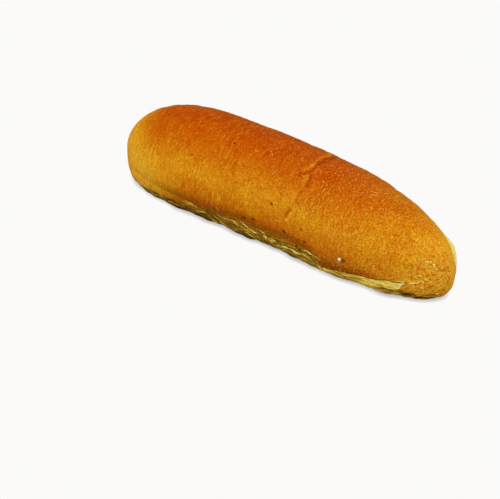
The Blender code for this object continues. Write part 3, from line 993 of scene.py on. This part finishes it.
def lay_thread(side, first, last, arch, width, paleness, wave, torn=FULLY_TORN):
    """A copy of the thread, laid on the roll from one (station, height) to another. side is -1 or 1 in Y.
    torn is FULLY_TORN for bare dough and -FULLY_TORN for crust, which is as brown as paleness leaves it."""
    laid = thread.copy()
    laid.data = thread.data.copy()
    bpy.context.scene.collection.objects.link(laid)
    along = Vector((last[0] - first[0], 0.0, last[1] - first[1])).normalized()
    for vertex in laid.data.vertices:
        share = vertex.co.z + 0.5
        swing = arch * math.sin(math.pi * share) + wave * math.sin(2.0 * math.pi * share)
        x = first[0] + share * (last[0] - first[0])
        z = first[1] + share * (last[1] - first[1]) + swing
        start = Vector((x, side * RAY_START, z))
        found, place, outward, number = roll.ray_cast(start, Vector((0.0, -side, 0.0)))
        fullness = math.sin(math.pi * min(max(share, 0.0), 1.0)) ** THREAD_FULLNESS
        taper = THREAD_TIP + (1.0 - THREAD_TIP) * fullness
        across = along.cross(outward).normalized()
        rise = vertex.co.x * taper - THREAD_SINK
        vertex.co = place + across * (vertex.co.y * width * taper) + outward * (rise * width)
    for name, value in (("pale", paleness), ("torn_edge", torn), ("brown", 1.0 - paleness), ("fibrous", 1.0)):
        store(laid, name, [value] * len(laid.data.vertices))
    return laid


def join_threads(threads, name):
    """Makes the threads one piece, in the roll's own material."""
    bpy.ops.object.select_all(action="DESELECT")
    for laid in threads:
        laid.select_set(True)
    joined = threads[0]
    bpy.context.view_layer.objects.active = joined
    bpy.ops.object.join()
    joined.name = name
    joined.data.name = name
    joined.data.materials.clear()
    joined.data.materials.append(crust)
    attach(joined, "root")


strands = []
for x, z, end_x, end_z, arch, width, paleness in LEADING_STRANDS:
    wave = width * THREAD_WAVE
    strands.append(lay_thread(-1.0, (x, z), (end_x, end_z), arch, width, paleness, wave))
for number in range(LOOSE_STRANDS * 2):
    side = -1.0 if number < LOOSE_STRANDS else 1.0
    x = chance.uniform(*LOOSE_STATIONS)
    z = chance.uniform(*LOOSE_HEIGHTS)
    length = chance.uniform(*LOOSE_LENGTHS)
    fall = chance.uniform(*LOOSE_FALLS) * length
    width = chance.uniform(*LOOSE_WIDTHS)
    paleness = chance.uniform(*LOOSE_PALE)
    arch = chance.uniform(*LOOSE_ARCHES)
    wave = width * THREAD_WAVE
    strands.append(lay_thread(side, (x, z), (x + length, z + fall), arch, width, paleness, wave))
join_threads(strands, "torn_strands")


# Small blisters burst on the crust of the low end, and each left a curl of skin, pale or golden. They are
# copies of the same thread, shorter and flatter. One row for each: its first station and height, and its
# last ones.
PALE_CURLS = (
    (0.0788, 0.0226, 0.0806, 0.0233), (0.0804, 0.0233, 0.0823, 0.0219), (0.0821, 0.0221, 0.0836, 0.0203),
    (0.0835, 0.0205, 0.0843, 0.0186), (0.0809, 0.0211, 0.0819, 0.0203), (0.0800, 0.0146, 0.0822, 0.0133),
    (0.0787, 0.0133, 0.0805, 0.0122), (0.0773, 0.0113, 0.0789, 0.0134), (0.0745, 0.0112, 0.0775, 0.0119),
    (0.0758, 0.0106, 0.0769, 0.0088), (0.0777, 0.0156, 0.0791, 0.0163), (0.0825, 0.0123, 0.0835, 0.0137),
    (0.0846, 0.0054, 0.0868, 0.0066), (0.0792, 0.0094, 0.0806, 0.0086), (0.0764, 0.0148, 0.0772, 0.0160),
)
GOLDEN_CURLS = (
    (0.0738, 0.0098, 0.0746, 0.0104), (0.0752, 0.0126, 0.0760, 0.0122), (0.0780, 0.0140, 0.0788, 0.0146),
    (0.0813, 0.0144, 0.0820, 0.0151), (0.0828, 0.0156, 0.0834, 0.0149), (0.0796, 0.0114, 0.0803, 0.0108),
    (0.0812, 0.0100, 0.0820, 0.0106), (0.0770, 0.0078, 0.0778, 0.0083), (0.0836, 0.0094, 0.0842, 0.0087),
    (0.0848, 0.0110, 0.0853, 0.0118), (0.0806, 0.0186, 0.0812, 0.0180), (0.0790, 0.0200, 0.0797, 0.0206),
)
CURL_PALENESS = (0.78, 0.98)
GOLDEN_PALENESS = (0.62, 0.80)
CURL_WIDTHS = (0.00080, 0.00120)
CURL_ARCH = 0.0004
CURL_WAVE = 0.0001

curls = []
for rows, palenesses, torn_or_crust in (
        (PALE_CURLS, CURL_PALENESS, FULLY_TORN), (GOLDEN_CURLS, GOLDEN_PALENESS, -FULLY_TORN)):
    for x, z, end_x, end_z in rows:
        arch = chance.uniform(-CURL_ARCH, CURL_ARCH)
        width = chance.uniform(*CURL_WIDTHS)
        paleness = chance.uniform(*palenesses)
        curls.append(lay_thread(
            -1.0, (x, z), (end_x, end_z), arch, width, paleness, CURL_WAVE, torn_or_crust))
join_threads(curls, "blister_curls")
bpy.data.objects.remove(thread)


# One grain of flour baked onto the crust above the ledge: a white, lumpy crumb of dry flour, half sunk in
# its own pit.
CRUMB_PLACE = (0.0434, 0.0148)
CRUMB_RADIUS = 0.00074
CRUMB_SINK = 0.00015
CRUMB_LUMPS = 0.0005
CRUMB_LUMPY = 0.5
FLOUR_GRAIN = (0.0004, 0.0004, 0.0004)
FLOUR_COLOURS = ((0.30, (226, 214, 190)), (0.60, (255, 252, 245)))
FLOUR_ROUGHNESS = 0.8

bpy.ops.object.select_all(action="DESELECT")
bpy.ops.mesh.primitive_ico_sphere_add(subdivisions=3, radius=CRUMB_RADIUS, location=(0.0, 0.0, 0.0))
crumb = bpy.context.active_object
crumb.name = "flour_crumb"
crumb.data.name = "flour_crumb"
found, seat, outward, number = roll.ray_cast(
    Vector((CRUMB_PLACE[0], -RAY_START, CRUMB_PLACE[1])), Vector((0.0, 1.0, 0.0)))
for vertex in crumb.data.vertices:
    lump = 1.0 + noise.noise(vertex.co / CRUMB_LUMPS) * CRUMB_LUMPY
    vertex.co = seat + vertex.co * lump - outward * CRUMB_SINK
bpy.ops.object.shade_smooth()
flour = bpy.data.materials.new("baked_flour")
flour.use_nodes = True
nodes = flour.node_tree.nodes
links = flour.node_tree.links
shader = nodes["Principled BSDF"]
object_place = node("ShaderNodeTexCoord").outputs["Object"]
links.new(colour_scale(noise_at(FLOUR_GRAIN), FLOUR_COLOURS), shader.inputs["Base Color"])
shader.inputs["Roughness"].default_value = FLOUR_ROUGHNESS
crumb.data.materials.append(flour)
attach(crumb, "root")


# The studio: a plain pale floor that runs out white, a soft light at the front left, a wide one overhead,
# a weaker one that looks at the low end, one at the back, and a dim pale room around.
FLOOR_SIZE = 6.0
FLOOR_DROP = 0.00005
FLOOR_GREY = (0.35, 0.35, 0.35, 1.0)
PAPER = (251, 250, 248)
SHADOW = (165, 164, 162)
SHADOW_REACH = 0.0022
SHADOW_SAMPLES = 16
ROOM_LIGHT = 0.25
LIGHTS = (
    ("key_light", Vector((-0.36, -0.68, 0.50)), 0.50, 4.8),
    ("top_light", Vector((0.22, 0.25, 1.00)), 1.00, 4.4),
    ("low_end_light", Vector((0.90, -0.20, 0.24)), 0.50, 3.4),
    ("back_light", Vector((-0.25, 0.80, 0.60)), 0.70, 2.2),
)


def seen_or_lit(lit, seen, output):
    """Shows the camera one shader, and lights the object with the other."""
    choice = node("ShaderNodeMixShader")
    links.new(node("ShaderNodeLightPath").outputs["Is Camera Ray"], choice.inputs[0])
    links.new(lit.outputs[0], choice.inputs[1])
    links.new(seen.outputs[0], choice.inputs[2])
    links.new(choice.outputs[0], output.inputs["Surface"])


bpy.ops.object.select_all(action="DESELECT")
bpy.ops.mesh.primitive_plane_add(size=FLOOR_SIZE, location=(0.0, 0.0, -FLOOR_DROP))
floor = bpy.context.active_object
floor.name = "floor"
paper = bpy.data.materials.new("paper_floor")
paper.use_nodes = True
nodes = paper.node_tree.nodes
links = paper.node_tree.links
nodes.remove(nodes["Principled BSDF"])
# To the camera the floor is an even emission, darkened to a painted contact shadow where ambient occlusion
# finds the roll close by.
seen = node("ShaderNodeEmission")
contact = node("ShaderNodeAmbientOcclusion", samples=SHADOW_SAMPLES, only_local=False)
contact.inputs["Distance"].default_value = SHADOW_REACH
feed(seen.inputs["Color"], mix_colours(contact.outputs["AO"], from_srgb(*SHADOW), from_srgb(*PAPER)))
plain = node("ShaderNodeBsdfDiffuse")
plain.inputs["Color"].default_value = FLOOR_GREY
seen_or_lit(plain, seen, nodes["Material Output"])
floor.data.materials.append(paper)

for name, place, size, power in LIGHTS:
    light = bpy.data.objects.new(name, bpy.data.lights.new(name, "AREA"))
    light.data.shape = "DISK"
    light.data.size = size
    light.data.energy = power
    light.location = place
    light.rotation_mode = "QUATERNION"
    light.rotation_quaternion = place.to_track_quat("Z", "Y")
    bpy.context.scene.collection.objects.link(light)

room = bpy.data.worlds.new("room")
room.use_nodes = True
bpy.context.scene.world = room
nodes = room.node_tree.nodes
links = room.node_tree.links
seen = nodes["Background"]
seen.inputs["Color"].default_value = from_srgb(*PAPER)
lit = node("ShaderNodeBackground")
lit.inputs["Strength"].default_value = ROOM_LIGHT
seen_or_lit(lit, seen, nodes["World Output"])
bpy.context.scene.view_settings.view_transform = "Standard"
